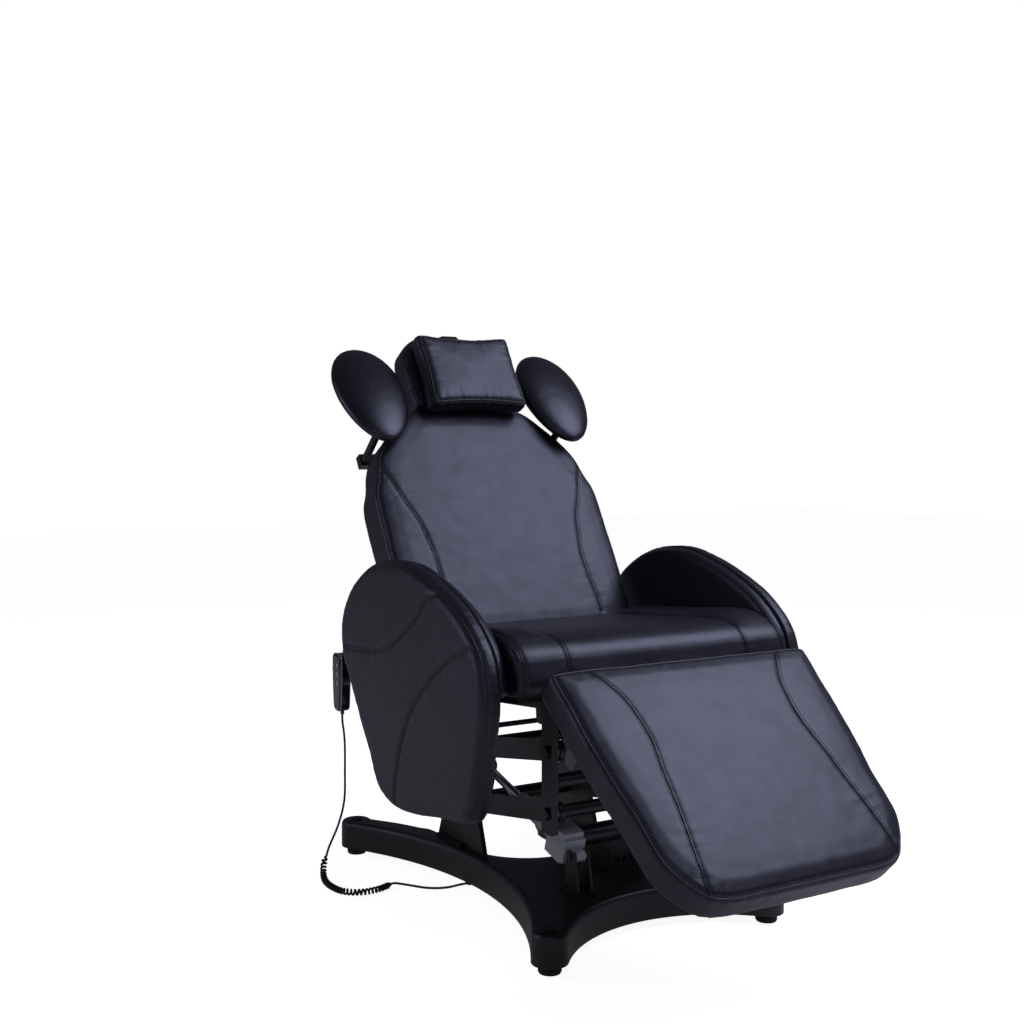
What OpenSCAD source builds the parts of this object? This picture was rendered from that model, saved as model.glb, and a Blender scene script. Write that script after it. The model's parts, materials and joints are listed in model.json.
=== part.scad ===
// Electric treatment bed: X base with a four-bar lift, tilting seat between two
// padded side panels, reclining back, leg rest, sliding headrest, two swinging ear
// pads and a wired handset. It stands at its lowest height, back up, leg rest down.

/* [Base] */
// Distance between the feet across the bed
foot_span_x = 518; // [430:2:640]
// Distance between the feet along the bed
foot_span_y = 838; // [690:2:1010]
// How far the middle of the base lies behind the origin
base_y = 152; // [120:1:185]
// Height of the top of the base cover
base_top = 80; // [66:1:100]
// Height of the cover's lower edge
cover_clear = 18; // [14:1:22]
// Radius of the cover around each foot
end_r = 35; // [30:1:42]
// How far the sides are waisted in from the feet
waist_depth = 89; // [70:1:100]
// How far the front edge is hollowed back from the feet
front_notch = 82; // [60:1:100]
// Half the width of the opening between the rear legs
rear_gap = 139; // [116:1:142]
// Wall of the base cover
cover_wall = 4; // [3:0.5:6]
// Thickness of the steel base plate
plate_t = 8; // [6:1:10]
// Radius of a foot
foot_r = 22; // [16:1:28]
// Radius of the round caps over the feet
cap_r = 12.5; // [9:0.5:16]

/* [Lift] */
// Distance between an arm's two pivots
arm_l = 370; // [305:1:450]
// Angle of the arms above level at the lowest height
arm_rise = 9.5; // [5:0.5:15]
// Height of the lower rear pivot
pivot_z = 175; // [150:1:215]
// Distance from the middle of the base back to the rear pivots
pivot_back = 116; // [95:1:140]
// Height between the lower and upper arms
arm_gap = 122; // [105:1:150]
// Depth of an arm
arm_d = 42; // [34:1:46]
// Thickness of an arm
arm_t = 12; // [8:1:14]
// Thickness of a post
post_t = 16; // [12:1:20]
// Depth of a post
post_d = 36; // [28:1:44]
// Height of the seat's tilt hinge above the lower front pivot
post_h = 219; // [180:1:265]
// Distance from the middle of the bed to the inner face of a post
post_x = 142; // [138:1:165]
// Radius of the pivot bolts
bolt_r = 8; // [6:0.5:10]

/* [Seat] */
// Backward slope of the seat at rest
seat_slope = 5; // [0:1:8]
// Width of the seat cushion
seat_w = 636; // [540:2:762]
// Height of the seat cushion above the seat board
seat_t = 112; // [94:1:134]
// Height that the seat's side bolsters add
bolster_h = 13; // [5:1:20]
// Thickness of the seat, back and leg boards
board_t = 11.7; // [9:0.1:15]
// Depth of the seat's rails
rail_d = 39.7; // [34:0.1:46]
// Thickness of a side panel, without its crown
panel_t = 25; // [20:1:30]
// Crown of a side panel's outer face
panel_crown = 15; // [8:1:20]
// Thickness of the padding inside a side panel
lining_t = 25; // [18:1:30]

/* [Back and headrest] */
// Angle of the back above level at rest
back_angle = 60; // [50:1:75]
// Length of the back from the crease to its top edge
back_l = 540; // [450:5:648]
// Half the width of the back
back_hw = 291; // [250:1:300]
// Thickness of the back cushion
back_t = 89; // [74:1:100]
// Width of the headrest cushion
head_w = 264; // [220:2:300]
// Height of the headrest cushion
head_l = 196; // [164:1:236]
// Width of the pillow
pillow_w = 254; // [212:2:286]
// Height of the pillow
pillow_l = 190; // [158:1:228]
// Thickness of the pillow
pillow_t = 60; // [50:1:72]

/* [Ear pads] */
// Half the length of an ear pad
ear_a = 142; // [118:1:170]
// Half the width of an ear pad
ear_b = 86; // [71:1:100]
// Half the thickness of an ear pad
ear_c = 29; // [24:1:34]
// Distance from the middle of the bed to the middle of an ear pad
ear_x = 245; // [238:1:290]

/* [Leg rest] */
// Angle of the leg rest below level at rest
leg_angle = 43; // [30:1:50]
// Length of the leg rest
leg_l = 477; // [398:1:572]
// Half the width of the leg rest at its top
leg_hw = 300; // [250:1:360]
// Thickness of the leg rest cushion
leg_t = 62; // [52:1:74]

/* [Handset and cord] */
// Width of the handset
handset_w = 46; // [38:1:56]
// Height of the handset
handset_l = 126; // [105:1:150]
// Thickness of the handset
handset_t = 27; // [22:1:32]
// Diameter of the cord
cord_d = 6; // [4:0.5:8]
// Outer diameter of the cord's curly part
curl_d = 15; // [12:1:18]

/* [Hidden] */
$fn = 64;
seat_gap = 0.3;                    // between parts that rest on each other
run_fit = 0.05;                    // radial clearance of a pin in its bore
foot_x = foot_span_x / 2;
foot_y = foot_span_y / 2;
arm_x = post_x - 4;                // outer face of the arms
pivot_y = base_y + pivot_back;
front_y = pivot_y - arm_l * cos(arm_rise);
front_z = pivot_z + arm_l * sin(arm_rise);
tilt_z = front_z + post_h;
rail_x = arm_x - 3.5;              // outer face of the seat's rails
rail_w = 25;
rail_top = 20.7;
board_z = rail_top + seat_gap;
cush_z = board_z + board_t + seat_gap;
panel_x = seat_w / 2 + 2 + lining_t + seat_gap;   // inner face of a side panel
leg_hinge = [-178.7, 34.5];        // on the seat: distance back, height
back_hinge = [365.3, 72.5];
motor_bar = [95, -40];
bar_r = 12.5;
tube_r = 10;
tube_u = [70, 230];
tube_w = rail_top - tube_r;
leg_lever = 60;
leg_lever_a = 15;
back_lever = 70;
back_lever_a = 30;
lift_lever = 84;
lift_lever_a = 19;
lift_foot = [front_y - 23, 150];   // lower eye of the lift motor: y, z
lift_x = -98;
tilt_x = 8;
leg_x = 10;
back_x = 70;
pin_r = 6;
rod_r = 9;
crease = 43.7;                     // from the back's hinge up to the crease
back_front = 77.4;                 // front of the back above its hinge
leg_top = 78;                      // top of the leg rest above its hinge
grey = [0.72, 0.73, 0.74];
black = [0.06, 0.06, 0.07];
steel = [0.1, 0.1, 0.11];
hide = [0.12, 0.12, 0.15];

function unit(v) = v / norm(v);
function turn(p, a) = [p[0] * cos(a) - p[1] * sin(a), p[0] * sin(a) + p[1] * cos(a)];
function flip(p) = [for (i = [len(p) - 1:-1:0]) [-p[i][0], p[i][1]]];
// n points of an arc from angle a towards b, which is left out
function arc(c, r, a, b, n) = [for (i = [0:n - 1]) c + r * [cos(a + (b - a) * i / n), sin(a + (b - a) * i / n)]];
// A closed curve through the points p, with n steps between each two
function smooth(p, n) = [for (i = [0:len(p) - 1])
  let (a = p[(i + len(p) - 1) % len(p)], b = p[i], c = p[(i + 1) % len(p)], d = p[(i + 2) % len(p)])
  for (k = [0:n - 1]) let (t = k / n)
  0.5 * (2 * b + (c - a) * t + (2 * a - 5 * b + 4 * c - d) * t * t + (3 * b - 3 * c + d - a) * t * t * t)];
// The outline p moved inwards by d
function inset(p, d) = [for (i = [0:len(p) - 1])
  let (t = unit(p[(i + 1) % len(p)] - p[(i + len(p) - 1) % len(p)])) p[i] + d * [-t[1], t[0]]];
function at(p, z) = [for (q = p) [q[0], q[1], z]];
// Where a point of the seat (back, up) lies on the bed (y, z)
function seat_pt(p) = [front_y, tilt_z] + turn(p, -seat_slope);

// A closed solid through rings that have the same number of points
module loft(rings) {
  n = len(rings[0]);
  m = len(rings);
  sides = [for (j = [0:m - 2], i = [0:n - 1]) let (a = j * n + i, d = j * n + (i + 1) % n)
    each [[a, a + n, d + n], [a, d + n, d]]];
  polyhedron([for (r = rings) each r],
    concat([[for (i = [0:n - 1]) i]], sides, [[for (i = [n - 1:-1:0]) (m - 1) * n + i]]), 4);
}
// A slab from an outline, whose edge follows pairs of [inset, height]
module slab(outline, profile) {
  loft([for (q = profile) at(inset(outline, q[0]), q[1])]);
}
// A pad from an outline p: like slab, but each ring is p drawn in towards its middle, so corners never cross
module pad(p, profile) {
  lo = [min([for (q = p) q[0]]), min([for (q = p) q[1]])];
  hi = [max([for (q = p) q[0]]), max([for (q = p) q[1]])];
  c = (lo + hi) / 2;
  loft([for (r = profile) [for (q = p) [c[0] + (q[0] - c[0]) * (1 - 2 * r[0] / (hi[0] - lo[0])),
    c[1] + (q[1] - c[1]) * (1 - 2 * r[0] / (hi[1] - lo[1])), r[1]]]]);
}
// A tube of radius r along the route p, with s sides
module sweep(p, r, s) {
  last = len(p) - 1;
  loft([for (i = [0:last]) let (t = unit(p[min(i + 1, last)] - p[max(i - 1, 0)]),
    u = unit(cross(abs(t[2]) > 0.9 ? [0, 1, 0] : [0, 0, 1], t)), v = cross(t, u))
    [for (k = [0:s - 1]) p[i] + r * (cos(360 * k / s) * u + sin(360 * k / s) * v)]]);
}
// The route p with rounded bends, n steps between each two points
function route(p, n) = concat([for (i = [0:len(p) - 2])
  let (a = p[max(i - 1, 0)], b = p[i], c = p[i + 1], d = p[min(i + 2, len(p) - 1)])
  for (k = [0:n - 1]) let (t = k / n)
  0.5 * (2 * b + (c - a) * t + (2 * a - 5 * b + 4 * c - d) * t * t + (3 * b - 3 * c + d - a) * t * t * t)],
  [p[len(p) - 1]]);

module both() {
  children();
  mirror([1, 0, 0]) children();
}
module along_x(x) translate([x, 0, 0]) rotate([90, 0, 90]) children();
module on_seat() translate([0, front_y, tilt_z]) rotate([-seat_slope, 0, 0]) children();
module on_back() translate([0, seat_pt(back_hinge)[0], seat_pt(back_hinge)[1]]) rotate([back_angle, 0, 0]) children();
module on_leg() translate([0, seat_pt(leg_hinge)[0], seat_pt(leg_hinge)[1]]) rotate([leg_angle, 0, 0]) children();
module on_ear(s) on_back() translate([s * ear_x, crease + back_l + 30, back_front + 8]) rotate([-12, 0, 0]) children();
// A flat bar of half depth r in the side view, from a to b, with rounded ends
module link(a, b, r, t) {
  d = atan2(b[1] - a[1], b[0] - a[0]);
  linear_extrude(t) polygon(concat(arc(a, r, d + 90, d + 285, 13), arc(b, r, d - 90, d + 105, 13)));
}

// ---- base ----
front_r = (foot_x * foot_x + front_notch * front_notch - end_r * end_r) / (2 * (front_notch + end_r));
side_r = (foot_y * foot_y + waist_depth * waist_depth - end_r * end_r) / (2 * (waist_depth + end_r));
front_c = [0, base_y - foot_y + front_notch - front_r];
side_c = [foot_x - waist_depth + side_r, base_y];
front_foot = [foot_x, base_y - foot_y];
rear_foot = [foot_x, base_y + foot_y];
front_a = atan2(front_foot[1] - front_c[1], foot_x);
side_a = atan2(foot_y, side_c[0] - foot_x);
gap_c = [0, base_y + 87];
base_half = concat(
  arc(front_c, front_r, 88, front_a, 10),
  arc(front_foot, end_r, front_a - 180, side_a, 12),

  [for (i = [1:13]) side_c + side_r * [cos(180 + side_a - 2 * side_a * i / 14), sin(180 + side_a - 2 * side_a * i / 14)]],
  arc(rear_foot, end_r, -side_a, 200, 14),
  [[foot_x - 74, rear_foot[1] - 78], [foot_x - 99, rear_foot[1] - 132], [rear_gap + 3, rear_foot[1] - 176]],
  arc(gap_c, rear_gap, 0, -90, 10));
base_outline = concat(base_half, flip(base_half));

module base_cover() color(black) difference() {
  slab(base_outline, [[0, cover_clear], [0, base_top - 11], [0.8, base_top - 6.5],
    [3, base_top - 3], [6.5, base_top - 0.8], [10, base_top]]);
  translate([0, 0, cover_clear - 5]) linear_extrude(base_top - cover_wall - cover_clear + 5)
    polygon(inset(base_outline, cover_wall));
}

module base_plate() color(steel) translate([0, 0, cover_clear + 2]) linear_extrude(plate_t)
  polygon(inset(base_outline, cover_wall + 1.3));

module at_feet() for (x = [-foot_x, foot_x], y = [base_y - foot_y, base_y + foot_y]) translate([x, y, 0]) children();

module levelling_feet() color(black) at_feet() {
  cylinder(r = foot_r - 2, h = 3);
  translate([0, 0, 3]) cylinder(r = foot_r, h = 9);
  translate([0, 0, 12]) cylinder(r = bolt_r, h = cover_clear - 10 - seat_gap);
}

module foot_caps() color(black) at_feet() translate([0, 0, base_top + seat_gap]) difference() {
  cylinder(r = cap_r, h = 3);
  translate([0, 0, 1.8]) cylinder(r = cap_r - 3, h = 3);
}

// Two plates on the rear legs that carry the arms, with their shafts, and the lift motor's foot
module pedestal() color(steel) {
  foot_z = base_top + seat_gap;
  plate = [[base_y + 11, foot_z], [base_y + 216, foot_z], [pivot_y + 42, front_z], [pivot_y + 36, pivot_z + arm_gap + 46],
    [pivot_y - 18, pivot_z + arm_gap + 46]];
  both() {
    along_x(arm_x + 2) linear_extrude(10) polygon(plate);
    translate([arm_x - 12, base_y + 95, foot_z]) cube([36, 110, 6]);
  }
  for (z = [pivot_z, pivot_z + arm_gap]) translate([0, pivot_y, z]) along_x(-arm_x - 16)
    cylinder(r = tube_r, h = 2 * arm_x + 32);
  translate([0, pivot_y + 15, pivot_z + arm_gap + 33]) along_x(-arm_x - 2) cylinder(r = 6, h = 2 * arm_x + 4);
  translate([lift_x - 24, lift_foot[0] - 30, foot_z]) cube([48, 60, 6]);
  for (x = [lift_x - 19, lift_x + 13]) along_x(x) linear_extrude(6)
    polygon([[lift_foot[0] - 26, foot_z], [lift_foot[0] + 26, foot_z], [lift_foot[0] + 11, lift_foot[1] + 10],
      [lift_foot[0] - 11, lift_foot[1] + 10]]);
  translate([0, lift_foot[0], lift_foot[1]]) along_x(lift_x - 22) cylinder(r = pin_r, h = 44);
}

box_size = [84, 120, 44];
box_pos = [26, base_y - 207];
module control_box() color(black) translate([box_pos[0], box_pos[1], base_top + seat_gap]) difference() {
  cube(box_size);
  for (i = [0:3]) translate([12 + 16 * i, -1, 14]) cube([10, 7, 12]);
}

module mains_inlet() color(black) translate([-24, gap_c[1] - rear_gap * sin(81) + 3 * seat_gap, base_top - 46]) difference() {
  cube([48, 6, 28]);
  translate([11, 2, 6]) cube([26, 5, 16]);
}

gland = [-152, base_y + 80];
module cord_gland() color(black) translate([gland[0], gland[1] - 7, 1]) cube([12, 14, cover_clear - 1 - seat_gap]);

// ---- cord: points chosen by hand ----
hang_points = [[-352, 439, 360.2], [-352, 439, 344], [-346, 441, 300], [-345, 443, 230], [-347, 443, 165],
  [-362, 443, 112], [-384, 442, 68], [-392, 439, 50]];
curl_points = [[-392, 439, 50], [-400, 436, 32], [-408, 420, 15], [-414, 396, 8], [-418, 360, 8], [-413, 322, 8],
  [-398, 299, 8], [-378, 287, 8], [-354, 284, 8], [-328, 289, 8], [-300, 303, 8]];
floor_points = [[-300, 303, 8], [-290, 307, 6.5], [-278, 304, 4], [-264, 288, 3.2], [-238, 252, 3.2],
  [-205, 234, 3.2], [-172, 232, 4], [-152, 232, 4]];
module cord_hanging() color(black) sweep(route(hang_points, 5), cord_d / 2, 8);
module cord_curly() color(black) sweep(route(curl_points, 3), curl_d / 2, 10);
module cord_floor() color(black) sweep(route(floor_points, 4), cord_d / 2, 8);

// ---- lift ----
low_rear = [pivot_y, pivot_z];
low_front = [front_y, front_z];
up = [0, arm_gap];
lift_top = low_rear + turn([0, lift_lever], lift_lever_a);
module arm_pair(a, b) both() along_x(arm_x - arm_t) difference() {
  link(a, b, arm_d / 2, arm_t);
  translate([a[0], a[1], -1]) cylinder(r = tube_r + run_fit, h = arm_t + 2);
  translate([b[0], b[1], -1]) cylinder(r = bolt_r + run_fit, h = arm_t + 2);
}
module lower_arms() color(steel) {
  arm_pair(low_rear, low_front);
  difference() {
    union() {
      translate([0, pivot_y, pivot_z]) along_x(-arm_x + arm_t) cylinder(r = 16, h = 2 * (arm_x - arm_t));
      for (x = [lift_x - 20, lift_x + 14]) along_x(x) link(low_rear, lift_top, 13, 6);
    }
    translate([0, pivot_y, pivot_z]) along_x(-arm_x) cylinder(r = tube_r + run_fit, h = 2 * arm_x);
  }
  translate([0, lift_top[0], lift_top[1]]) along_x(lift_x - 22) cylinder(r = pin_r, h = 44);
  translate([0, front_y, front_z]) along_x(-arm_x + arm_t) difference() {
    cylinder(r = 14, h = 2 * (arm_x - arm_t));
    translate([0, 0, -1]) cylinder(r = bolt_r + run_fit, h = 2 * arm_x);
  }
}
module upper_arms() color(steel) {
  arm_pair(low_rear + up, low_front + up);
  translate([0, pivot_y, pivot_z + arm_gap]) along_x(-arm_x + arm_t) difference() {
    cylinder(r = 14, h = 2 * (arm_x - arm_t));
    translate([0, 0, -1]) cylinder(r = tube_r + run_fit, h = 2 * arm_x);
  }
}
cross_z = front_z + arm_gap / 2;
module carriage() color(steel) {
  both() along_x(post_x) difference() {
    union() {
      translate([front_y, tilt_z]) cylinder(r = 16, h = post_t);
      translate([front_y - post_d / 2, front_z - 40]) cube([post_d, tilt_z - front_z + 40, post_t]);
    }
    translate([front_y - 30, tilt_z, -1]) cube([60, 30, post_t + 2]);
    for (p = [low_front, low_front + up, [front_y, tilt_z]]) translate([p[0], p[1], -1])
      cylinder(r = bolt_r + run_fit, h = post_t + 2);
  }
  both() along_x(post_x) difference() {
    translate([front_y, tilt_z, 0]) cylinder(r = 16, h = post_t);
    translate([front_y - 30, tilt_z - 30, -1]) cube([60, 30, post_t + 2]);
    translate([front_y, tilt_z, -1]) cylinder(r = bolt_r + run_fit, h = post_t + 2);
  }
  translate([0, front_y, cross_z]) along_x(-post_x) cylinder(r = 15, h = 2 * post_x);
}
module pivot_bolts() color(steel) both() for (p = [low_front, low_front + up]) translate([0, p[0], p[1]]) {
  along_x(arm_x - arm_t - 4) cylinder(r = bolt_r, h = post_x - arm_x + arm_t + 4 + post_t);
  along_x(post_x + post_t + seat_gap) cylinder(r = 12.5, h = 7);
}
module nylon_washers() color("white") both() for (p = [low_front, low_front + up]) translate([0, p[0], p[1]])
  along_x(arm_x + seat_gap) difference() {
    cylinder(r = 15, h = post_x - arm_x - 2 * seat_gap);
    translate([0, 0, -1]) cylinder(r = bolt_r + run_fit, h = 6);
  }

// ---- motors: each lies along a line from its foot a to its head b in the side view ----
module on_line(x, a, b) translate([x, a[0], a[1]]) rotate([atan2(b[1] - a[1], b[0] - a[0]), 0, 0]) children();
// An eye across the line at distance y, for a pin of radius r, w wide
module eye(y, r, wall, w) translate([-w / 2, y, 0]) rotate([0, 90, 0]) cylinder(r = r + wall, h = w);
module eye_hole(y, r) translate([-40, y, 0]) rotate([0, 90, 0]) cylinder(r = r, h = 80);
module tube_y(y, l, r) translate([0, y, 0]) rotate([-90, 0, 0]) cylinder(r = r, h = l);
// The still half of a motor: eye, gearbox, can and tube
module motor(hole, l, r, deep, can, can_side) difference() {
  union() {
    eye(0, hole, 6, 22);
    translate([-11, 0, -9]) cube([22, 40, 18]);
    translate([-24, hole + 10, -24]) cube([48, 50, 48]);
    tube_y(hole + 50, l - hole - 50, r);
    if (can > 0) translate([can_side * 22, hole + 36, 2]) rotate([0, can_side * 90, 0]) cylinder(r = 20, h = can);
  }
  eye_hole(0, hole + run_fit);
  tube_y(deep, l, rod_r + run_fit);
}
// The sliding half: a rod from a to b with a wide eye at b
module rod(a, b, hole, wall) difference() {
  union() {
    tube_y(a, b - a - hole, rod_r);
    eye(b, hole, wall, 20);
  }
  eye_hole(b, hole);
}
leg_head = seat_pt(leg_hinge) + turn([0, -leg_lever], leg_lever_a);
back_head = seat_pt(back_hinge) + turn([0, -back_lever], back_lever_a);
bar_pt = seat_pt(motor_bar);
tilt_foot = [front_y, cross_z];
tilt_lug = [tube_u[1], -12];
tilt_head = seat_pt(tilt_lug);
lift_len = norm(lift_top - lift_foot);
leg_len = norm(leg_head - bar_pt);
back_len = norm(back_head - bar_pt);
tilt_len = norm(tilt_head - tilt_foot);
lift_slack = 0.052 * lift_lever;
leg_slack = 0.14 * leg_lever;
back_slack = 0.12 * back_lever;

module lift_gearbox() color(grey) on_line(lift_x, lift_foot, lift_top) difference() {
  union() {
    motor(pin_r, 225, 17, 130, 0, 1);
    translate([-24, 26, -30]) cube([48, 56, 64]);
  }
  eye_hole(0, pin_r + run_fit);
  tube_y(130, 225, rod_r + run_fit);
}
module lift_motor() color(black) on_line(lift_x, lift_foot, lift_top)
  translate([24 + seat_gap, 55, 6]) rotate([0, 90, 0]) cylinder(r = 21, h = 104);
module lift_rod() color("silver") on_line(lift_x, lift_foot, lift_top) rod(140, lift_len, pin_r + lift_slack, 6);
module tilt_motor() color(grey) on_line(tilt_x, tilt_foot, tilt_head) motor(15, 190, 15, 100, 60, -1);
module tilt_rod() color("silver") on_line(tilt_x, tilt_foot, tilt_head) rod(110, tilt_len, pin_r + 1.3, 4);
module back_motor() color(grey) on_line(back_x, bar_pt, back_head) motor(bar_r, 124, 17, 28, 0, 1);
module back_rod() color("silver") on_line(back_x, bar_pt, back_head) rod(108, back_len, pin_r + back_slack, 5);
module leg_motor() color(grey) on_line(leg_x, bar_pt, leg_head) motor(bar_r, 130, 17, 40, 0, 1);
module leg_rod() color("silver") on_line(leg_x, bar_pt, leg_head) rod(62, leg_len, pin_r + leg_slack, 5);

// ---- seat ----
module seat_frame() color(steel) on_seat() {
  both() {
    translate([rail_x - rail_w, -150, rail_top - rail_d]) cube([rail_w, 490, rail_d]);
    along_x(rail_x - seat_gap) cylinder(r = 13, h = post_x - rail_x);
    along_x(rail_x - 1) cylinder(r = bolt_r, h = post_x + post_t - rail_x + 4);
    // ears of the leg rest's hinge
    along_x(rail_x - 18.5) link([-150, 2], leg_hinge, 10, 6);
    translate([0, leg_hinge[0], leg_hinge[1]]) along_x(rail_x - 20) cylinder(r = pin_r, h = 17);
    // ears of the back's hinge
    along_x(rail_x) link([325, 9], back_hinge, 9, 6);
    translate([0, back_hinge[0], back_hinge[1]]) along_x(rail_x - 4) cylinder(r = pin_r, h = 20);
    // hangers of the motors' bar
    along_x(rail_x - rail_w) link([motor_bar[0], 0], motor_bar, 15, 6);
  }
  for (u = tube_u) translate([0, u, tube_w]) along_x(-panel_x + 4 + seat_gap) cylinder(r = tube_r, h = 2 * (panel_x - 4 - seat_gap));
  for (x = [tilt_x - 18, tilt_x + 12]) along_x(x) link([tube_u[1], tube_w], tilt_lug, 9, 6);
  translate([0, tilt_lug[0], tilt_lug[1]]) along_x(tilt_x - 20) cylinder(r = pin_r, h = 40);
  translate([0, motor_bar[0], motor_bar[1]]) along_x(-rail_x + rail_w) cylinder(r = bar_r, h = 2 * (rail_x - rail_w));
}
module panel_flanges() color(steel) on_seat() both() for (u = tube_u)
  translate([panel_x - 4, u - 25, tube_w - 25]) cube([4 - seat_gap, 50, 34]);
module seat_board() color([0.5, 0.4, 0.3]) on_seat()
  translate([-seat_w / 2 + 20, -125, board_z]) cube([seat_w - 40, 387, board_t]);

// Side view of the seat cushion, from its front bottom corner round to the rear
function rev(p) = [for (i = [len(p) - 1:-1:0]) p[i]];
function seat_side(h) = rev(smooth([[-138, 0.6], [-163, 8], [-171, 28], [-168, 0.42 * seat_t], [-161, 0.66 * seat_t],
  [-143, 0.83 * seat_t], [-110, 0.94 * seat_t + h / 2], [-62, seat_t - 1 + h], [20, seat_t + h], [150, seat_t + h],
  [258, seat_t + h], [290, seat_t - 4 + h / 2], [300, seat_t - 18], [294, 0.66 * seat_t], [287, 0.4 * seat_t],
  [284, 17], [275, 2], [262, 0], [236, 0], [150, 0], [0, 0], [-100, 0]], 3));
seat_stations = [[-1, 9, 0], [-0.985, 3, 0.8], [-0.95, 0, 1], [-0.8, 0, 1], [-0.7, 0, 0.5], [-0.64, 0, 0], [0.64, 0, 0],
  [0.7, 0, 0.5], [0.8, 0, 1], [0.95, 0, 1], [0.985, 3, 0.8], [1, 9, 0]];
module seat_cushion() color(hide) on_seat() translate([0, 0, cush_z])
  loft([for (s = seat_stations) [for (q = inset(seat_side(s[2] * bolster_h), s[1])) [s[0] * seat_w / 2, q[0], q[1]]]]);

panel_side = smooth([[206, 271], [119, 255], [37, 229], [-40, 194], [-96, 152], [-124, 117], [-138, 80], [-144, 40],
  [-138, -5], [-125, -75], [-108, -143], [-83, -183], [-33, -199], [52, -210], [132, -224], [220, -232], [277, -221],
  [317, -193], [350, -136], [399, -71], [449, 5], [474, 40], [486, 85], [480, 135], [447, 186], [395, 227],
  [316, 261]], 3);
lining_side = smooth([[206, 266], [119, 250], [38, 224], [-38, 189], [-92, 148], [-120, 114], [-132, 80], [-134, 56],
  [-116, 46], [0, 45], [220, 45], [420, 45], [460, 50], [478, 85], [474, 132], [442, 181], [392, 221], [315, 255]], 3);
module arm_panel(s) color(hide) translate([0, front_y, tilt_z]) mirror([s < 0 ? 1 : 0, 0, 0]) along_x(panel_x)
  slab(panel_side, [[4, 0], [0, 4], [0, panel_t - 3], [3, panel_t + 2], [9, panel_t + 0.55 * panel_crown],
    [20, panel_t + 0.85 * panel_crown], [36, panel_t + panel_crown]]);
module arm_lining(s) color(hide) translate([0, front_y, tilt_z]) mirror([s < 0 ? 1 : 0, 0, 0])
  along_x(panel_x - lining_t - seat_gap)
  pad(lining_side, [[12, 0], [4, 3], [0, 10], [0, lining_t]]);
module arm_panel_left() arm_panel(-1);
module arm_panel_right() arm_panel(1);
module arm_lining_left() arm_lining(-1);
module arm_lining_right() arm_lining(1);

// ---- handset: hangs outside the left panel's rear edge ----
handset_x = -panel_x - 0.2;
handset_y = front_y + 524;
handset_z = 498;
module handset_hook() color(black) {
  translate([handset_x + 0.5, handset_y - 130, handset_z - 60]) cube([4, 130 + handset_w / 2 - 4, 28]);
  translate([handset_x - 6, handset_y - 10, handset_z + 0.4]) cube([10.5, 20, 4]);
  translate([handset_x + 0.5, handset_y - 10, handset_z - 60]) cube([4, 20, 64]);
}
handset_side = smooth([[0, 0], [0.34, -0.01], [0.48, -0.08], [0.5, -0.4], [0.42, -0.8], [0.36, -0.95], [0.2, -1],
  [-0.2, -1], [-0.36, -0.95], [-0.42, -0.8], [-0.5, -0.4], [-0.48, -0.08], [-0.34, -0.01]], 3);
handset_face = [for (i = [len(handset_side) - 1:-1:0]) [handset_side[i][0] * handset_w, handset_side[i][1] * handset_l]];
key_r = 4.6;
key_grid = [for (r = [0:2], c = [-1, 1]) [c * 10, -24 - 20 * r]];
module on_handset() translate([handset_x, handset_y, handset_z]) mirror([1, 0, 0]) along_x(0) children();
module handset_case() color(black) {
  on_handset() difference() {
    slab(handset_face, [[3, 0], [0, 3], [0, handset_t - 6], [2, handset_t - 2], [6, handset_t]]);
    for (k = key_grid) translate([k[0], k[1], handset_t - 3]) cylinder(r = key_r + 0.3, h = 5);
  }
  translate([hang_points[0][0], hang_points[0][1], hang_points[0][2] + seat_gap])
    cylinder(r = 4.5, h = handset_z - handset_l - hang_points[0][2] + 1.2);
}
module key(i) color("silver") on_handset() translate([key_grid[i][0], key_grid[i][1], handset_t - 2])
  cylinder(r = key_r, h = 3.2);
module key_1() key(0);
module key_2() key(1);
module key_3() key(2);
module key_4() key(3);
module key_5() key(4);
module key_6() key(5);

// ---- back ----
back_rail_x = rail_x + 7;
head_rod_x = 60;
head_rod_r = 6;
head_rod_n = -31.6;
module back_frame() color(steel) on_back() difference() {
  union() {
    both() {
      translate([back_rail_x, 14, -50.3]) cube([25, crease + back_l - 60, 25]);
      along_x(back_rail_x) link([10, -38], [0, 0], 9, 6);
    }
    for (u = [48, 250, crease + back_l - 84]) translate([-back_rail_x, u, -50.3]) cube([2 * back_rail_x, 25, 25]);
    for (x = [back_x - 18, back_x + 12]) along_x(x) link([60, -38], turn([0, -back_lever], back_lever_a - back_angle), 12, 6);
    along_x(back_x - 20) translate(turn([0, -back_lever], back_lever_a - back_angle)) cylinder(r = pin_r, h = 40);
  }
  both() along_x(back_rail_x - 1) cylinder(r = pin_r + run_fit, h = 8);
  both() translate([head_rod_x, crease + back_l - 100, head_rod_n]) tube_y(0, 60, head_rod_r + run_fit);
}
module back_board() color([0.5, 0.4, 0.3]) on_back()
  translate([-0.62 * back_hw, 30, back_front - back_t - seat_gap - board_t]) cube([1.24 * back_hw, back_l - 80, board_t]);
back_half = [[0.3 * back_hw, 10], [0.88 * back_hw, 12], [back_hw - 3, 26], [back_hw, 90], [back_hw + 1, crease + 0.42 * back_l],
  [back_hw - 1, crease + 0.585 * back_l], [0.95 * back_hw, crease + 0.667 * back_l], [0.88 * back_hw, crease + 0.79 * back_l],
  [0.67 * back_hw, crease + 0.92 * back_l], [0.52 * back_hw, crease + back_l - 5], [0.4 * back_hw, crease + back_l]];
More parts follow.
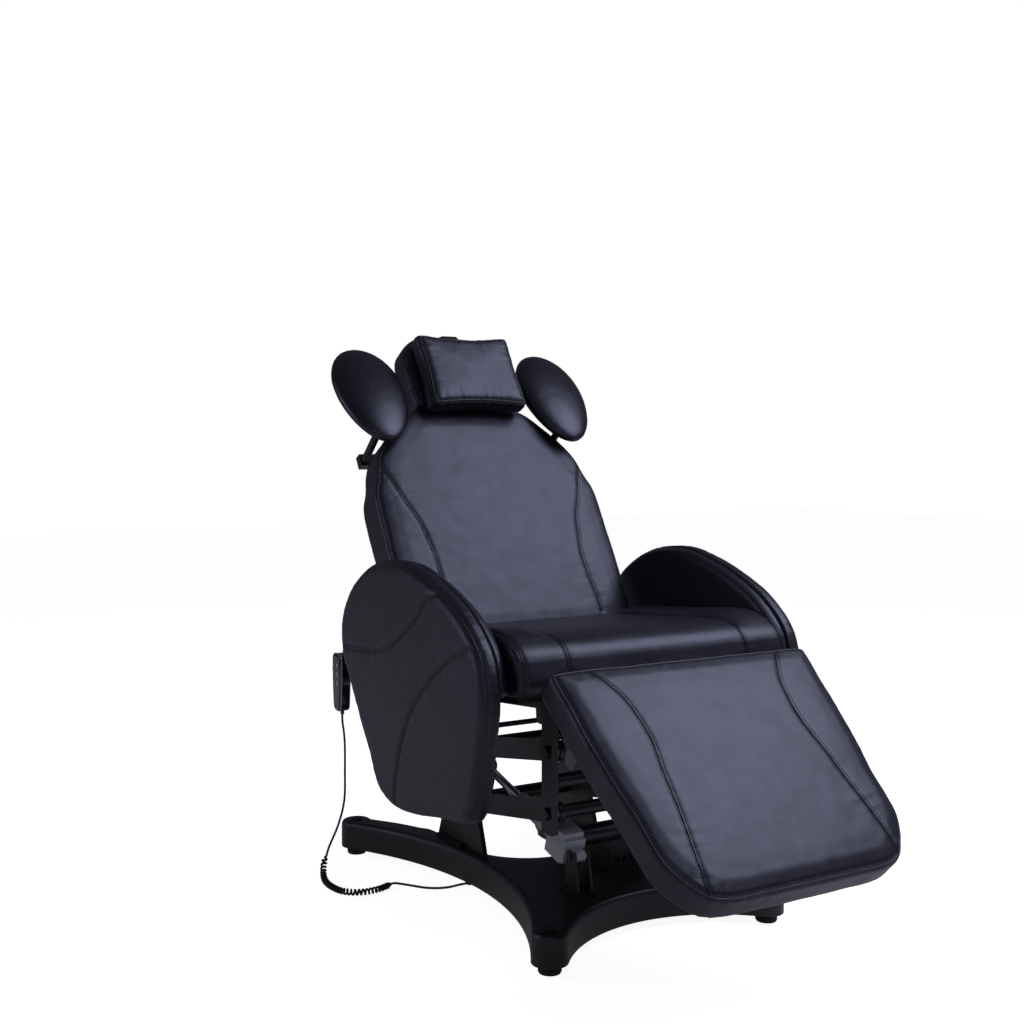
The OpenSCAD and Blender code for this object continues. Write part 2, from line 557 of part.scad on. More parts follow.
module back_cushion() color(hide) on_back()
  pad(smooth(concat(back_half, flip(back_half)), 3), [[10, back_front - back_t], [3, back_front - back_t + 3], [0, back_front - back_t + 11],
    [0, back_front - 10], [3, back_front - 3], [10, back_front], [26, back_front + 3.5], [50, back_front + 6]]);

head_u = crease + back_l + 6;
head_half = [[0.25 * head_w, head_u], [0.44 * head_w, head_u + 2], [0.485 * head_w, head_u + 14], [0.49 * head_w, head_u + 0.3 * head_l],
  [0.495 * head_w, head_u + 0.6 * head_l], [0.46 * head_w, head_u + 0.84 * head_l], [0.35 * head_w, head_u + 0.965 * head_l],
  [0.2 * head_w, head_u + head_l]];
module headrest_cushion() color(hide) on_back()
  pad(smooth(concat(head_half, flip(head_half)), 3), [[8, 5], [0, 13], [0, 70], [4, 78], [12, back_front + 5]]);
module headrest_board() color([0.5, 0.4, 0.3]) on_back()
  translate([-0.36 * head_w, head_u + 14, -7]) cube([0.72 * head_w, head_l - 50, 5 + 7 - seat_gap]);
module headrest_slide() color("silver") on_back() both() {
  translate([head_rod_x, crease + back_l - 170, head_rod_n]) tube_y(0, 300, head_rod_r);
  translate([head_rod_x - 10, head_u + 24, head_rod_n]) cube([20, 100, -7 - seat_gap - head_rod_n]);
}
pillow_u = head_u - 25;
pillow_x = 8;                       // the pillow lies a little to one side
pillow_half = [[0, pillow_u + 6], [0.25 * pillow_w, pillow_u + 4], [0.44 * pillow_w, pillow_u], [0.49 * pillow_w, pillow_u + 10],
  [0.475 * pillow_w, pillow_u + 0.5 * pillow_l], [0.48 * pillow_w, pillow_u + pillow_l - 10], [0.43 * pillow_w, pillow_u + pillow_l],
  [0.25 * pillow_w, pillow_u + pillow_l - 6]];
module pillow() color(hide) on_back() translate([pillow_x, 0, 0])
  pad(smooth(concat(pillow_half, [[0, pillow_u + pillow_l - 9]], flip([for (i = [1:7]) pillow_half[i]])), 3),
    [[16, back_front + 5 + seat_gap], [4, back_front + 14], [0, back_front + 27], [0, back_front + 36], [5, back_front + 50],
    [15, back_front + 59], [30, back_front + 5 + pillow_t]]);
strap_path = [[pillow_u + pillow_l - 4, back_front + 24], [head_u + head_l - 5, back_front + 10], [head_u + head_l + 3, back_front - 8],
  [head_u + head_l + 3, 8], [head_u + head_l - 6, -2], [head_u + head_l - 24, -9.2], [head_u + 24, -9.2]];
module pillow_strap() color(hide) on_back() for (i = [0:len(strap_path) - 2]) let (a = strap_path[i], b = strap_path[i + 1])
  along_x(-19) linear_extrude(38) translate(a) rotate(atan2(b[1] - a[1], b[0] - a[0])) translate([0, -1]) square([norm(b - a) + 0.6, 1.6]);

// ---- ear pads ----
ear_pivot = [-4, -80];
module ear(s) color(hide) on_ear(s)
  loft([for (t = [-84, -70, -52, -34, -16, 0, 16, 34, 52, 70, 84]) [for (i = [0:35])
    let (c = cos(10 * i), d = sin(10 * i)) [cos(t) * ear_b * c * (1 + 0.12 * d), cos(t) * ear_a * d, ear_c * sin(t)]]]);
module ear_plate(s) color(black) on_ear(s) difference() {
  translate([0, 0, -ear_c - 5 - seat_gap]) mirror([s < 0 ? 1 : 0, 0, 0]) link(ear_pivot, [0, 10], 20, 5);
  translate([s * ear_pivot[0], ear_pivot[1], -ear_c - 8]) cylinder(r = pin_r + run_fit, h = 10);
}
module ear_bracket(s) color(black) {
  on_ear(s) translate([s * ear_pivot[0], ear_pivot[1], 0]) {
    translate([0, 0, -ear_c - 110]) cylinder(r = 9, h = 110 - 6);
    translate([0, 0, -ear_c - 20]) cylinder(r = pin_r, h = 20 - seat_gap - 1);
  }
  on_back() translate([s > 0 ? back_rail_x + 25 + seat_gap : -ear_x - ear_pivot[0] - 11, crease + back_l - 90, -50])
    cube([ear_x + ear_pivot[0] + 11 - back_rail_x - 25 - seat_gap, 30, 20]);
}
module ear_left() ear(-1);
module ear_right() ear(1);
module ear_plate_left() ear_plate(-1);
module ear_plate_right() ear_plate(1);
module ear_bracket_left() ear_bracket(-1);
module ear_bracket_right() ear_bracket(1);

// ---- leg rest ----
leg_bottom = leg_top - leg_t;
leg_edge = [[0.3, -1], [0.55, -0.998], [0.7, -0.975], [0.8, -0.915], [0.865, -0.85], [0.897, -0.78], [0.913, -0.625], [0.943, -0.49],
  [0.967, -0.317], [0.973, -0.171], [0.985, -0.03], [0.93, 0.002], [0.4, 0.004]];
leg_outline = [for (q = leg_edge) [q[0] * leg_hw, q[1] * leg_l]];
module leg_cushion() color(hide) on_leg()
  pad(smooth(concat(leg_outline, flip(leg_outline)), 3), [[7, leg_bottom], [1, leg_bottom + 3], [0, leg_bottom + 10],
    [0, leg_top - 9], [3, leg_top - 3], [10, leg_top], [32, leg_top + 6], [62, leg_top + 9]]);
module leg_board() color([0.5, 0.4, 0.3]) on_leg()
  translate([-0.62 * leg_hw, -0.88 * leg_l, leg_bottom - seat_gap - board_t]) cube([1.24 * leg_hw, 0.82 * leg_l, board_t]);
leg_rail_x = rail_x - 12;
module leg_frame() color(steel) on_leg() difference() {
  rail_n = leg_bottom - 2 * seat_gap - board_t - 25;
  head = turn([0, -leg_lever], leg_lever_a - leg_angle);
  union() {
    both() {
      translate([leg_rail_x, -0.82 * leg_l, rail_n]) cube([25, 0.82 * leg_l - 18, 25]);
      along_x(leg_rail_x) link([-34, rail_n + 12], [0, 0], 10, 6);
    }
    for (y = [-66, -0.74 * leg_l]) translate([-leg_rail_x, y, rail_n]) cube([2 * leg_rail_x, 25, 25]);
    for (x = [leg_x - 18, leg_x + 12]) along_x(x) link([-54, rail_n + 12], head, 11, 6);
    along_x(leg_x - 20) translate(head) cylinder(r = pin_r, h = 40);
  }
  both() along_x(leg_rail_x - 1) cylinder(r = pin_r + run_fit, h = 8);
}

base_cover();
base_plate();
levelling_feet();
foot_caps();
pedestal();
control_box();
mains_inlet();
cord_gland();
cord_floor();
cord_curly();
cord_hanging();
lower_arms();
upper_arms();
carriage();
pivot_bolts();
nylon_washers();
lift_gearbox();
lift_motor();
lift_rod();
tilt_motor();
tilt_rod();
back_motor();
back_rod();
leg_motor();
leg_rod();
seat_frame();
seat_board();
seat_cushion();
arm_panel_left();
arm_panel_right();
arm_lining_left();
arm_lining_right();
panel_flanges();
handset_hook();
handset_case();
key_1();
key_2();
key_3();
key_4();
key_5();
key_6();
back_frame();
back_board();
back_cushion();
ear_bracket_left();
ear_bracket_right();
headrest_slide();
headrest_board();
headrest_cushion();
pillow();
pillow_strap();
ear_plate_left();
ear_plate_right();
ear_left();
ear_right();
leg_frame();
leg_board();
leg_cushion();
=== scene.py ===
"""Electric facial treatment bed: upholstery, handset cord, finishes and studio.

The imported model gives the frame. Sizes below are in millimetres, as in the part's source;
every mesh is written in metres in the same frame.
"""

import json
import math

import bmesh
import bpy
import numpy as np
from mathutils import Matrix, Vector, kdtree, noise
from mathutils.bvhtree import BVHTree


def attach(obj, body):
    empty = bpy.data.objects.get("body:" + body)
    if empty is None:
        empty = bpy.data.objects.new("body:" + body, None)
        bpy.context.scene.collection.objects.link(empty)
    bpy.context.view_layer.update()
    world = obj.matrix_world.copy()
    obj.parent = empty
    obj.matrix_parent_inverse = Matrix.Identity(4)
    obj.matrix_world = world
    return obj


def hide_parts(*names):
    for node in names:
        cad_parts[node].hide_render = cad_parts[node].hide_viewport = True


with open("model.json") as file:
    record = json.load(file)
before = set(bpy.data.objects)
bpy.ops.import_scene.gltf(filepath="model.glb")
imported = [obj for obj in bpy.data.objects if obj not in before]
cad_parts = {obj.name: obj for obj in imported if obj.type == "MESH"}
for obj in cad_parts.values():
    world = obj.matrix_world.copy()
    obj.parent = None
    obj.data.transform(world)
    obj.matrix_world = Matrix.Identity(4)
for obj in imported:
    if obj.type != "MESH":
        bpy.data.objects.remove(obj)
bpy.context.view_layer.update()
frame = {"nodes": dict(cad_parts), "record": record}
NODES = frame["nodes"]

# ---- sizes shared with the part's source, in mm ----
FOOT_X, FOOT_Y, BASE_Y = 259.0, 419.0, 152.0
BASE_TOP, COVER_CLEAR, END_R, WAIST, NOTCH, REAR_GAP, WALL = 80.0, 18.0, 35.0, 89.0, 82.0, 139.0, 4.0
ARM_L, ARM_RISE, PIVOT_Z, PIVOT_Y, POST_H = 370.0, 9.5, 175.0, 268.0, 219.0
FRONT_Y = PIVOT_Y - ARM_L * math.cos(math.radians(ARM_RISE))
TILT_Z = PIVOT_Z + ARM_L * math.sin(math.radians(ARM_RISE)) + POST_H
SEAT_SLOPE, BACK_ANGLE, LEG_ANGLE = 5.0, 60.0, 43.0
SEAT_W, SEAT_T, BOLSTER_H, CUSH_Z = 636.0, 112.0, 13.0, 33.0
PANEL_X, PANEL_T, PANEL_CROWN, LINING_T = 345.3, 25.0, 15.0, 25.0
BACK_HW, BACK_L, BACK_T, BACK_FRONT, CREASE = 291.0, 540.0, 89.0, 77.4, 43.7
HEAD_W, HEAD_L, PILLOW_W, PILLOW_L, PILLOW_T, PILLOW_X = 264.0, 196.0, 254.0, 190.0, 60.0, 8.0
EAR_A, EAR_B, EAR_C, EAR_X = 142.0, 86.0, 29.0, 245.0
LEG_L, LEG_HW, LEG_T, LEG_TOP = 477.0, 300.0, 62.0, 78.0
HANDSET = (-345.5, 427.07, 498.0)
HANDSET_W, HANDSET_L, HANDSET_T = 46.0, 126.0, 27.0


# ---- camera: the view of the bed from its front left ----
camera_data = bpy.data.cameras.new("studio_camera")
camera_data.lens, camera_data.sensor_width = 47.42, 36.0
camera = bpy.data.objects.new("studio_camera", camera_data)
camera.location = (-1.560, -2.290, 0.963)
camera.rotation_euler = [math.radians(a) for a in (87.01, 0.0, -31.11)]
bpy.context.scene.collection.objects.link(camera)
bpy.context.scene.camera = camera


# ---- shapes in the plane ----
def smooth(points, n):
    """A closed curve through the points, n steps to each."""
    out, count = [], len(points)
    for i in range(count):
        a, b, c, d = (np.array(points[(i + k) % count], float) for k in (-1, 0, 1, 2))
        for t in (k / n for k in range(n)):
            out.append(0.5 * (2 * b + (c - a) * t + (2 * a - 5 * b + 4 * c - d) * t * t
                              + (3 * b - 3 * c + d - a) * t ** 3))
    return out


def route(points, n):
    """An open smooth curve through the points, n steps to each span."""
    p, out = [np.array(q, float) for q in points], []
    for i in range(len(p) - 1):
        a, b, c, d = p[max(i - 1, 0)], p[i], p[i + 1], p[min(i + 2, len(p) - 1)]
        for t in (k / n for k in range(n)):
            out.append(0.5 * (2 * b + (c - a) * t + (2 * a - 5 * b + 4 * c - d) * t * t
                              + (3 * b - 3 * c + d - a) * t ** 3))
    return out + [p[-1]]


def inset(points, d):
    """The outline, which runs anticlockwise, moved inwards by d."""
    out = []
    for i, p in enumerate(points):
        t = points[(i + 1) % len(points)] - points[i - 1]
        t = t / np.linalg.norm(t)
        out.append(p + d * np.array([-t[1], t[0]]))
    return out


def mirrored(half):
    return list(half) + [(-x, y) for x, y in reversed(half)]


def arc(c, r, a0, a1, n):
    return [np.array([c[0] + r * math.cos(math.radians(a0 + (a1 - a0) * i / n)),
                      c[1] + r * math.sin(math.radians(a0 + (a1 - a0) * i / n))]) for i in range(n)]


def slab(outline, profile, crown=0.0):
    """Rings of an outline at pairs of (inset, height), closed by a low crown."""
    rings = [[(q[0], q[1], h) for q in inset(outline, d)] for d, h in profile]
    if crown:
        last = np.array(rings[-1])
        middle = last.mean(0)
        for f in (0.8, 0.55, 0.3, 0.12):
            ring = middle + (last - middle) * f
            ring[:, 2] += crown * (1 - f * f)
            rings.append([tuple(q) for q in ring])
    return rings


def pad(outline, profile, crown=0.0):
    """Like slab, with each ring drawn in towards the middle, so that rounded corners never cross."""
    low, high = np.min(outline, 0), np.max(outline, 0)
    middle, half = (low + high) / 2, (high - low) / 2
    rings = [[(*(middle + (q - middle) * (1 - d / half)), h) for q in outline] for d, h in profile]
    if crown:
        last = np.array(rings[-1])
        centre = last.mean(0)
        for f in (0.85, 0.65, 0.45, 0.25, 0.1):
            ring = centre + (last - centre) * f
            ring[:, 2] += crown * (1 - f * f)
            rings.append([tuple(q) for q in ring])
    return rings


def resampled(points, step):
    """The polyline with points a step apart."""
    p = np.array([list(q) for q in points], float)
    s = np.concatenate([[0], np.cumsum(np.linalg.norm(np.diff(p, axis=0), axis=1))])
    t = np.linspace(0, s[-1], max(2, int(round(s[-1] / step)) + 1))
    return np.stack([np.interp(t, s, p[:, k]) for k in range(3)], 1)


# ---- where a point of each section lies on the bed, in metres ----
def hinged(y0, z0, degrees, x, v, n):
    c, s = math.cos(math.radians(degrees)), math.sin(math.radians(degrees))
    return Vector((x, y0 + v * c - n * s, z0 + v * s + n * c)) / 1000


def seat_at(x, u, w):
    return hinged(FRONT_Y, TILT_Z, -SEAT_SLOPE, x, u, w)


BACK_HINGE = seat_at(0, 365.3, 72.5) * 1000
LEG_HINGE = seat_at(0, -178.7, 34.5) * 1000


def back_at(x, u, n):
    return hinged(BACK_HINGE.y, BACK_HINGE.z, BACK_ANGLE, x, u, n)


def leg_at(x, v, n):
    return hinged(LEG_HINGE.y, LEG_HINGE.z, LEG_ANGLE, x, v, n)


def panel_at(side):
    return lambda a, b, h: Vector((side * (PANEL_X + h), FRONT_Y + a, TILT_Z + b)) / 1000


def lining_at(side):
    return lambda a, b, h: Vector((side * (PANEL_X - LINING_T - 0.3 + h), FRONT_Y + a, TILT_Z + b)) / 1000


def ear_at(side):
    c, s = math.cos(math.radians(-12)), math.sin(math.radians(-12))
    return lambda x, v, n: back_at(side * EAR_X + x, CREASE + BACK_L + 30 + v * c - n * s,
                                   BACK_FRONT + 8 + v * s + n * c)


def floor_at(x, y, z):
    return Vector((x, y, z)) / 1000


# ---- materials ----
def linear(hex_colour):
    """A colour given as sRGB hex, as the linear values that a shader wants."""
    parts = [int(hex_colour[i:i + 2], 16) / 255 for i in (1, 3, 5)]
    return [p / 12.92 if p <= 0.04045 else ((p + 0.055) / 1.055) ** 2.4 for p in parts] + [1.0]


def add(tree, kind, settings=None, values=None, links=None):
    """One node of that kind, with its settings, its sockets' values and what feeds them."""
    made = tree.nodes.new(kind)
    for name, value in (settings or {}).items():
        setattr(made, name, value)
    for name, value in (values or {}).items():
        made.inputs[name].default_value = value
    for name, socket in (links or {}).items():
        tree.links.new(socket, made.inputs[name])
    return made


def ramp(tree, factor, stops):
    made = add(tree, "ShaderNodeValToRGB", links={"Fac": factor})
    while len(made.color_ramp.elements) < len(stops):
        made.color_ramp.elements.new(0.5)
    for element, (place, colour) in zip(made.color_ramp.elements, stops):
        element.position, element.color = place, linear(colour)
    return made.outputs["Color"]


def begin(name, values):
    """A new material: its tree, its shader and the object's own coordinates."""
    made = bpy.data.materials.new(name)
    made.use_nodes = True
    tree = made.node_tree
    tree.nodes.clear()
    shader = add(tree, "ShaderNodeBsdfPrincipled", values=values)
    add(tree, "ShaderNodeOutputMaterial", links={"Surface": shader.outputs["BSDF"]})
    place = add(tree, "ShaderNodeTexCoord").outputs["Object"]
    return made, tree, shader, place


def speckle(tree, place, size_mm, detail=3.0):
    return add(tree, "ShaderNodeTexNoise", values={"Scale": 1000 / size_mm, "Detail": detail},
               links={"Vector": place}).outputs["Fac"]


def spread(tree, factor, low, high):
    return add(tree, "ShaderNodeMapRange", values={"To Min": low, "To Max": high},
               links={"Value": factor}).outputs["Result"]


def raised(tree, shader, height, mm, strength, under=None):
    links = {"Height": height}
    if under is not None:
        links["Normal"] = under
    bump = add(tree, "ShaderNodeBump", values={"Distance": mm / 1000, "Strength": strength}, links=links)
    tree.links.new(bump.outputs["Normal"], shader.inputs["Normal"])
    return bump.outputs["Normal"]


def pressed_leather(name, dark, lit, rough_low, rough_high, grain_mm=2.6):
    """Polyurethane leather, pressed with a fine pebble: an even blue-black with a soft, wide sheen."""
    made, tree, shader, place = begin(name, {"Sheen Weight": 0.03, "Sheen Roughness": 0.4,
                                             "Sheen Tint": linear("#8f92b4"), "Coat Weight": 0.06,
                                             "Specular Tint": linear("#e9ebff"),
                                             "Coat Roughness": 0.32})
    broad = speckle(tree, place, 90, 2.0)
    tree.links.new(ramp(tree, broad, [(0.35, dark), (0.68, lit)]), shader.inputs["Base Color"])
    # the pebble is about 1 mm on the real hide, drawn coarser so that it shows
    pebble = add(tree, "ShaderNodeTexVoronoi", settings={"feature": "DISTANCE_TO_EDGE"},
                 values={"Scale": 1000 / grain_mm, "Randomness": 0.9}, links={"Vector": place})
    valley = add(tree, "ShaderNodeMapRange", values={"From Max": 0.18},
                 links={"Value": pebble.outputs["Distance"]})
    creases = speckle(tree, place, 24, 5.0)
    below = raised(tree, shader, creases, 0.7, 0.30)
    raised(tree, shader, valley.outputs["Result"], 0.16, 0.45, below)
    wear = speckle(tree, place, 40, 4.0)
    tree.links.new(spread(tree, wear, rough_low, rough_high), shader.inputs["Roughness"])
    return made


def moulded(name, dark, lit, rough_low, rough_high, grain_mm, depth, extra=None):
    """A moulded or coated finish: an even colour with a fine texture of the tool or the powder."""
    made, tree, shader, place = begin(name, extra or {})
    broad = speckle(tree, place, 60, 2.0)
    tree.links.new(ramp(tree, broad, [(0.3, dark), (0.7, lit)]), shader.inputs["Base Color"])
    fine = speckle(tree, place, grain_mm, 2.0)
    raised(tree, shader, fine, depth, 0.4)
    wear = speckle(tree, place, 25, 4.0)
    tree.links.new(spread(tree, wear, rough_low, rough_high), shader.inputs["Roughness"])
    return made


def veneered_plywood():
    """Birch plywood stained black: its grain runs along the bed."""
    made, tree, shader, place = begin("black_stained_plywood", {"Roughness": 0.6})
    long_grain = add(tree, "ShaderNodeMapping", values={"Scale": (120.0, 9.0, 120.0)},
                     links={"Vector": place})
    grain = add(tree, "ShaderNodeTexNoise", values={"Scale": 2.0, "Detail": 6.0},
                links={"Vector": long_grain.outputs["Vector"]}).outputs["Fac"]
    tree.links.new(ramp(tree, grain, [(0.3, "#0d0c0b"), (0.55, "#14120f"), (0.75, "#1e1a16")]),
                   shader.inputs["Base Color"])
    raised(tree, shader, grain, 0.2, 0.4)
    return made


def woven_strap():
    """Polyester webbing: a 2 mm basket weave in black."""
    made, tree, shader, place = begin("polyester_webbing", {"Roughness": 0.75})
    across = add(tree, "ShaderNodeTexWave", settings={"bands_direction": "X"}, values={"Scale": 160.0},
                 links={"Vector": place}).outputs["Fac"]
    along = add(tree, "ShaderNodeTexWave", settings={"bands_direction": "Z"}, values={"Scale": 160.0},
                links={"Vector": place}).outputs["Fac"]
    weave = add(tree, "ShaderNodeMath", settings={"operation": "MULTIPLY"})
    tree.links.new(across, weave.inputs[0])
    tree.links.new(along, weave.inputs[1])
    shade_of_weave = ramp(tree, weave.outputs[0], [(0.1, "#101013"), (0.8, "#25252a")])
    tree.links.new(shade_of_weave, shader.inputs["Base Color"])
    raised(tree, shader, weave.outputs[0], 0.3, 0.6)
    return made


HIDE = pressed_leather("pressed_pu_leather", "#111117", "#181820", 0.36, 0.46)
HIDE_EAR = pressed_leather("smooth_pu_leather", "#131318", "#191920", 0.24, 0.34, 1.8)
WELT = moulded("leather_piping", "#121217", "#1a1a22", 0.30, 0.42, 1.2, 0.1)
THREAD = moulded("bonded_polyester_thread", "#2a2a33", "#3a3a46", 0.45, 0.6, 0.6, 0.05)
SLOT_FINISH = {
    "black_abs": moulded("moulded_abs_black", "#0b0b0d", "#111114", 0.38, 0.50, 0.9, 0.07),
    "black_steel": moulded("powder_coated_steel_black", "#0a0a0c", "#101013", 0.34, 0.48, 1.4, 0.10),
    "foot_rubber": moulded("vulcanised_rubber", "#101011", "#18181a", 0.65, 0.8, 1.0, 0.10),
    "cord_rubber": moulded("pvc_cord_jacket", "#0e0e10", "#151518", 0.38, 0.5, 0.8, 0.04),
    "nylon": moulded("turned_nylon_white", "#dcdad2", "#ecebe6", 0.38, 0.5, 0.8, 0.04),
    "motor_grey": moulded("moulded_abs_light_grey", "#a9abae", "#bcbec1", 0.42, 0.55, 0.9, 0.07),
    "chrome": moulded("hard_chrome_plate", "#c9cbcd", "#dcdee0", 0.08, 0.20, 0.7, 0.01, {"Metallic": 1.0}),
    "plywood": veneered_plywood(),
    "handset_gloss": moulded("gloss_abs_black", "#08080a", "#0c0c0f", 0.07, 0.14, 1.5, 0.01,
                             {"Coat Weight": 0.6, "Coat Roughness": 0.05}),
    "key_silver": moulded("painted_key_silver", "#a8abb0", "#c2c5c9", 0.28, 0.4, 0.6, 0.03,
                          {"Metallic": 0.6}),
    "strap_web": woven_strap(),
    "hide": HIDE,
}


# ---- making pieces ----
def new_piece(name, mesh, body, material, nodes=()):
    piece = bpy.data.objects.new(name, mesh)
    bpy.context.scene.collection.objects.link(piece)
    mesh.materials.clear()
    mesh.materials.append(material)
    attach(piece, body)
    if nodes:
        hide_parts(*nodes)
    return piece


def loft(name, rings, place):
    """A closed mesh through rings with the same number of points."""
    made, mesh = bmesh.new(), bpy.data.meshes.new(name)
    rows = [[made.verts.new(place(*q)) for q in ring] for ring in rings]
    n = len(rows[0])
    for low, high in zip(rows, rows[1:]):
        for i in range(n):
            made.faces.new((low[i], low[(i + 1) % n], high[(i + 1) % n], high[i]))
    made.faces.new(list(reversed(rows[0])))
    made.faces.new(rows[-1])
    bmesh.ops.remove_doubles(made, verts=made.verts, dist=1e-6)
    bmesh.ops.recalc_face_normals(made, faces=made.faces)
    made.to_mesh(mesh)
    made.free()
    return mesh


def evaluated(holder):
    """The holder's mesh with its modifiers applied."""
    graph = bpy.context.evaluated_depsgraph_get()
    return bpy.data.meshes.new_from_object(holder.evaluated_get(graph), depsgraph=graph)


def coordinates(mesh):
    co = np.empty(len(mesh.vertices) * 3, np.float64)
    mesh.vertices.foreach_get("co", co)
    return co.reshape(-1, 3)


def even_skin(mesh, voxel_mm, rounds):
    """The mesh rebuilt as even small quads, with the steps of the rebuild smoothed out."""
    holder = bpy.data.objects.new("work", mesh)
    bpy.context.scene.collection.objects.link(holder)
    remesh = holder.modifiers.new("remesh", "REMESH")
    remesh.mode, remesh.voxel_size = "VOXEL", voxel_mm / 1000
    ease = holder.modifiers.new("ease", "SMOOTH")
    ease.factor, ease.iterations = 0.5, rounds
    made = evaluated(holder)
    bpy.data.objects.remove(holder)
    return made


def shade(mesh):
    mesh.polygons.foreach_set("use_smooth", [True] * len(mesh.polygons))
    mesh.update()


def surface_of(mesh):
    return BVHTree.FromPolygons([v.co for v in mesh.vertices], [p.vertices for p in mesh.polygons])


LINE_STEP = 2.5   # mm between the points of a seam


def laid(tree, guesses, step=LINE_STEP):
    """The guessed line, in metres, laid on the surface: its points and their normals."""
    points, normals = [], []
    for q in resampled(guesses, step / 1000):
        hit, normal, _, _ = tree.find_nearest(Vector(q))
        points.append(np.array(hit))
        normals.append(np.array(normal))
    for _ in range(3):  # evens out the steps of the mesh below
        p = np.array(points)
        p[1:-1] = (p[:-2] + 2 * p[1:-1] + p[2:]) / 4
        points = list(p)
    return np.array(points), np.array(normals)


def tailored(mesh, lines, depth_mm, width_mm, sag_mm, pucker_mm, seed):
    """Presses the seams into the padding and lets the hide between them crease a little."""
    mesh.update()
    count = len(mesh.vertices)
    co = coordinates(mesh)
    normals = np.array([v.normal for v in mesh.vertices])
    push = np.zeros(count)
    if lines:
        total = sum(len(p) for p, _ in lines)
        near = kdtree.KDTree(total)
        runs, k = [], 0
        for p, _ in lines:
            for j, q in enumerate(p):
                near.insert(q, k)
                runs.append(j * LINE_STEP)
                k += 1
        near.balance()
    shift = Vector((seed * 3.7, seed * 1.3, seed * 5.1))
    for i in range(count):
        q = Vector(co[i])
        # broad softness of foam under hide, and a finer creasing
        value = sag_mm * noise.noise(q * 11 + shift) + 0.35 * sag_mm * noise.noise(q * 34 + shift)
        if lines:
            _, index, away = near.find(q)
            away *= 1000
            value -= depth_mm * math.exp(-(away / width_mm) ** 2)
            fade = math.exp(-away / 16) * (1 - math.exp(-away / 5))
            value += pucker_mm * fade * noise.noise(Vector((runs[index] / 13, seed, 0))) * 2
        push[i] = value / 1000
    mesh.vertices.foreach_set("co", (co + normals * push[:, None]).ravel())
    mesh.update()


def tubes(name, paths, radius_mm, sides, body, material, closed=False):
    """Round tubes along paths, in metres, in one mesh."""
    made, mesh = bmesh.new(), bpy.data.meshes.new(name)
    for path in paths:
        p = np.array(path)
        n = len(p)
        if closed:
            along = np.roll(p, -1, 0) - np.roll(p, 1, 0)
        else:
            along = np.gradient(p, axis=0)
        along /= np.linalg.norm(along, axis=1)[:, None]
        side = np.cross(along[0], [0.31, 0.87, 0.39])
        rows = []
        for i in range(n):
            side = side - along[i] * side.dot(along[i])
            side /= np.linalg.norm(side)
            up = np.cross(along[i], side)
            rows.append([made.verts.new(p[i] + radius_mm / 1000 * (math.cos(a) * side + math.sin(a) * up))
                         for a in (2 * math.pi * k / sides for k in range(sides))])
        pairs = list(zip(rows, rows[1:])) + ([(rows[-1], rows[0])] if closed else [])
        for low, high in pairs:
            for k in range(sides):
                made.faces.new((low[k], low[(k + 1) % sides], high[(k + 1) % sides], high[k]))
        if not closed:
            made.faces.new(list(reversed(rows[0])))
            made.faces.new(rows[-1])
    bmesh.ops.recalc_face_normals(made, faces=made.faces)
    made.to_mesh(mesh)
    made.free()
    shade(mesh)
    return new_piece(name, mesh, body, material)


def stitch_tree():
    """Short rounded stitches at a spacing along the edges of a mesh."""
    tree = bpy.data.node_groups.new("sewn_stitches", "GeometryNodeTree")
    face = tree.interface
    face.new_socket("Rows", in_out="INPUT", socket_type="NodeSocketGeometry")
    for label, value in (("Spacing", 0.0065), ("Stitch length", 0.0046), ("Thread radius", 0.0007)):
        face.new_socket(label, in_out="INPUT", socket_type="NodeSocketFloat").default_value = value
    face.new_socket("Thread", in_out="INPUT", socket_type="NodeSocketMaterial")
    face.new_socket("Stitches", in_out="OUTPUT", socket_type="NodeSocketGeometry")
    start = add(tree, "NodeGroupInput").outputs
    curve = add(tree, "GeometryNodeMeshToCurve", links={"Mesh": start["Rows"]}).outputs["Curve"]
    points = add(tree, "GeometryNodeCurveToPoints", settings={"mode": "LENGTH"},
                 links={"Curve": curve, "Length": start["Spacing"]}).outputs
    bead = add(tree, "GeometryNodeMeshUVSphere",
               values={"Segments": 6, "Rings": 4, "Radius": 1.0}).outputs["Mesh"]
    half = add(tree, "ShaderNodeMath", settings={"operation": "MULTIPLY"}, values={1: 0.5},
               links={0: start["Stitch length"]}).outputs[0]
    scale = add(tree, "ShaderNodeCombineXYZ", links={"X": start["Thread radius"], "Y": start["Thread radius"],
                                                     "Z": half}).outputs["Vector"]
    stitch = add(tree, "GeometryNodeTransform", links={"Geometry": bead, "Scale": scale}).outputs["Geometry"]
    placed = add(tree, "GeometryNodeInstanceOnPoints",
                 links={"Points": points["Points"], "Instance": stitch,
                        "Rotation": points["Rotation"]}).outputs["Instances"]
    real = add(tree, "GeometryNodeRealizeInstances", links={"Geometry": placed}).outputs["Geometry"]
    soft = add(tree, "GeometryNodeSetShadeSmooth", links={"Geometry": real}).outputs["Geometry"]
    done = add(tree, "GeometryNodeSetMaterial", links={"Geometry": soft, "Material": start["Thread"]})
    add(tree, "NodeGroupOutput", links={"Stitches": done.outputs["Geometry"]})
    return tree


STITCHES = stitch_tree()


